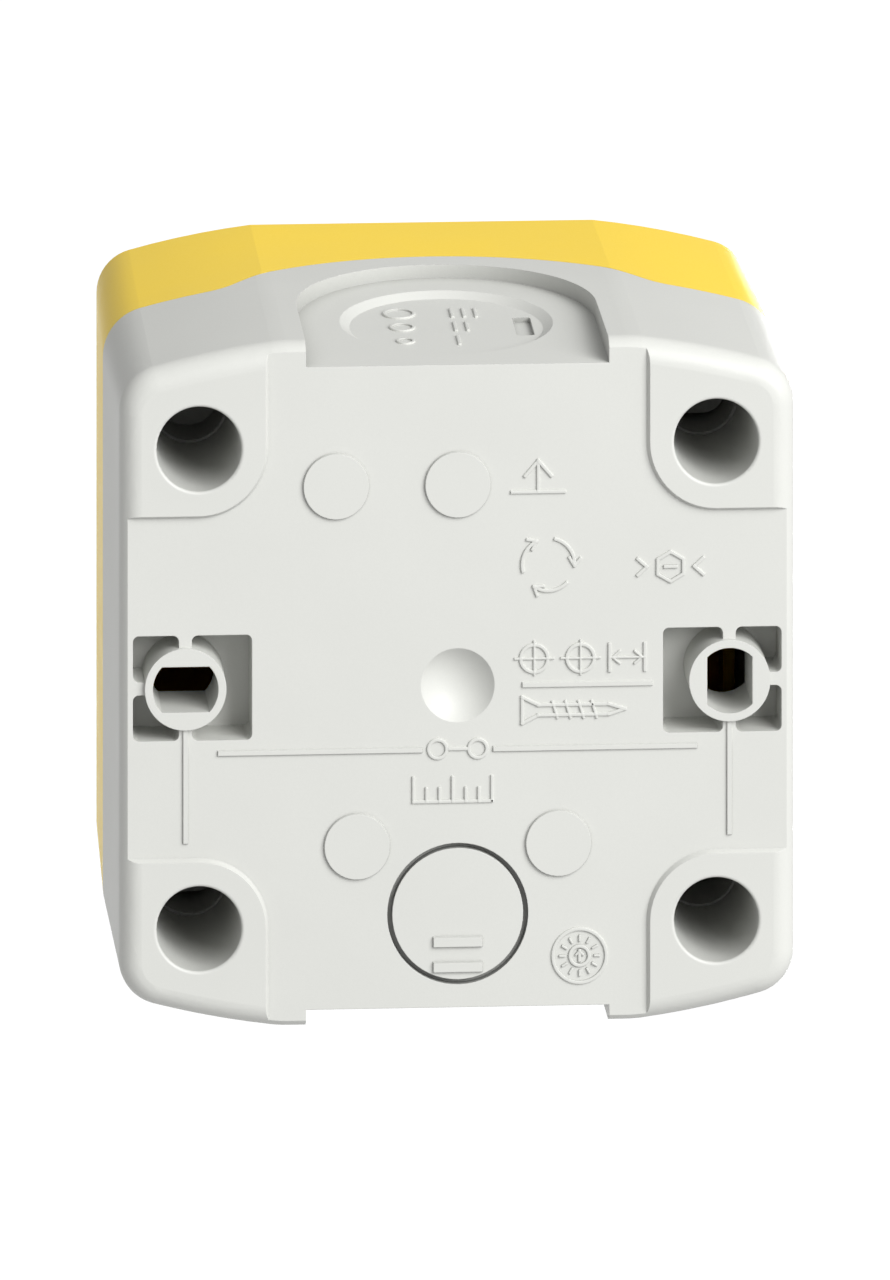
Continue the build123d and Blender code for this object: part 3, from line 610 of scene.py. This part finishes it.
# %% The springs
TRAVEL, CONTACT_TRAVEL = 4.3, 2.6
RETURN_ROOM, PLUNGER_ROOM, CONTACT_ROOM = 13.5, 8, 4     # length of each spring's space at rest
BLOCK_X = 6
spring("return_spring_coil", "return_spring", "lid", 0, 49.05, 62.45, 6.6, 0.45, 7,
       ("button_press", 49, (RETURN_ROOM - TRAVEL) / RETURN_ROOM))
for kind, x in (("nc", BLOCK_X), ("no", -BLOCK_X)):
    spring(f"{kind}_plunger_spring_coil", f"{kind}_plunger_spring", "base", x, 5.53, 13.47, 1.9, 0.22, 7,
           (f"{kind}_plunger_slide", 5.5, (PLUNGER_ROOM - TRAVEL) / PLUNGER_ROOM))
spring("nc_contact_spring_coil", "nc_contact_spring", "nc_moving", BLOCK_X, 15.03, 18.97, 1.4, 0.22, 6)
spring("no_contact_spring_coil", "no_contact_spring", "no_contact", -BLOCK_X, 19.83, 23.77, 1.4, 0.22, 6,
       ("no_bridge_slide", 19.8, (CONTACT_ROOM - TRAVEL + CONTACT_TRAVEL) / CONTACT_ROOM))

# %% [markdown]
# ## Threads
#
# A thread is a small three-cornered ridge wound round a shank with the same Screw modifier, with its two ends
# closed by the fill-holes tool.


# %% Cutting a thread
THREAD_STEPS = 40


def thread(name, x, z, radius, start, end, pitch, height, material):
    """A ridge between two depths; all sizes are in millimetres."""
    deselect()
    bpy.ops.mesh.primitive_circle_add(vertices=3, radius=height * MM, location=(radius * MM, -start * MM, 0),
                                      rotation=(0, 0, -pi / 2))
    ridge = settle(bpy.context.object)
    wind(ridge, pitch * MM, round((end - start) / pitch), THREAD_STEPS)
    pick(ridge, lambda point: True)
    bpy.ops.mesh.fill_holes(sides=6)
    bpy.ops.mesh.select_all(action="SELECT")
    bpy.ops.mesh.normals_make_consistent(inside=False)
    bpy.ops.object.mode_set(mode="OBJECT")
    ridge.location = (x * MM, 0, z * MM)
    settle(ridge)
    enter(ridge, name, "lid", material)
    print(name, "faces:", len(ridge.data.polygons))


thread("barrel_thread", 0, 0, 11.05, 41.6, 46.2, 1.15, 0.38, bezel_black)
HEAD_R = 3.6
screw_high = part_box("lid_screws")[1]
SCREW_X, SCREW_Z = screw_high.x / MM - HEAD_R, screw_high.z / MM - HEAD_R
for side in (-1, 1):
    thread(f"lid_screw_thread_{'upper' if side > 0 else 'lower'}", -side * SCREW_X, side * SCREW_Z, 1.55,
           22.5, 27.4, 0.7, 0.24, screw_steel)

# %% [markdown]
# ## The floor
#
# A wide pale floor, far enough below the box to catch no shadow from it.

# %% Lay the floor
deselect()
bpy.ops.mesh.primitive_plane_add(size=24, location=(0, 0, -1.6))
floor = bpy.context.object
floor.name = "floor"
pale = Finish("pale_floor")
pale.set(Base_Color=(0.9, 0.9, 0.9, 1), Roughness=0.9, Emission_Color=(1, 1, 1, 1), Emission_Strength=0.6)
floor.data.materials.append(pale.material)
floor.visible_diffuse = False
